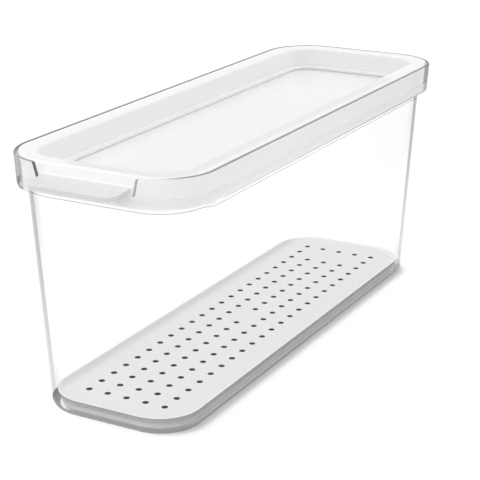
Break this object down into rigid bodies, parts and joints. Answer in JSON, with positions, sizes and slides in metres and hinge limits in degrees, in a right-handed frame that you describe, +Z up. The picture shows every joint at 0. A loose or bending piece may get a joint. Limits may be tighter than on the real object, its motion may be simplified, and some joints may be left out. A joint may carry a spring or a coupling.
{
  "type": "fridge organizer",
  "caption": "Long clear fridge bin with a white lift-off lid frame, clear window, pull tab and a perforated drip tray.",
  "frame": {"origin": "middle of the flat face that the bin stands on", "axes": "+Z up, +Y along the bin away from the lid's pull tab, +X across the bin"},
  "size_m": [0.1068, 0.3294, 0.1334],
  "materials": {
    "clear_plastic": "clear, polished",
    "white_lid_plastic": "white, satin",
    "window_plastic": "clear, polished",
    "white_tray_plastic": "off-white, fine matt"
  },
  "bodies": {
    "box": {"bin": "clear_plastic"},
    "lid": {"lid_frame": "white_lid_plastic", "lid_window": "window_plastic"},
    "tray": {"drip_tray": "white_tray_plastic"}
  },
  "joints": [
    {"name": "lid_lift", "type": "slide", "parent": "box", "child": "lid", "axis": [0, 0, 1], "range_m": [0, 0.06]},
    {"name": "tray_lift", "type": "slide", "parent": "box", "child": "tray", "axis": [0, 0, 1], "range_m": [0, 0.108]}
  ]
}
